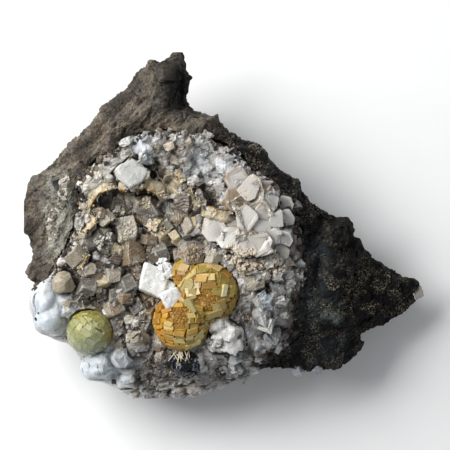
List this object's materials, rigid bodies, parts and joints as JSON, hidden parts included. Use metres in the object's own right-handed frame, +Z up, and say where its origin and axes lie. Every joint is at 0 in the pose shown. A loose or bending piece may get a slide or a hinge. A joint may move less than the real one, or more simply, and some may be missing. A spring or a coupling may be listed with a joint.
{
  "type": "prehnite mineral specimen",
  "caption": "Broken piece of dark basalt with a vug lined by white and grey calcite rhombs, on which yellow-green prehnite balls grew; it lies on its flat broken back.",
  "frame": {"origin": "below the middle of the specimen's bounding box, on the surface that it rests on", "axes": "+Z up, away from the flat back; +Y toward the basalt horn; +X toward the basalt wing's tip"},
  "size_m": [0.1362, 0.1174, 0.0485],
  "materials": {
    "basalt": "rough broken surface with pale specks",
    "calcite_lining": "crystalline, part white, part grey-brown, frosted faces",
    "prehnite_yellow": "waxy to vitreous, iron-stained",
    "prehnite_green": "waxy to vitreous, translucent",
    "white_calcite": "snow-white cleavage faces",
    "pale_calcite": "translucent pinkish plates",
    "beige_calcite": "frosted, rounded",
    "dark_mineral": "glossy, nearly black",
    "brown_mineral": "dull brown"
  },
  "bodies": {
    "root": {"basalt_matrix": "basalt", "calcite_crust": "calcite_lining", "prehnite_cluster": "prehnite_yellow", "prehnite_ball": "prehnite_green", "dark_ball": "dark_mineral", "white_calcite_cluster": "white_calcite", "pale_calcite_cluster": "pale_calcite", "milky_calcite_block": "white_calcite", "rounded_calcite": "beige_calcite", "white_calcite_block": "white_calcite", "white_calcite_chip": "white_calcite", "brown_knob": "brown_mineral", "edge_crystal_left": "white_calcite", "edge_crystal_right": "white_calcite", "tip_crystal": "white_calcite"}
  },
  "joints": []
}
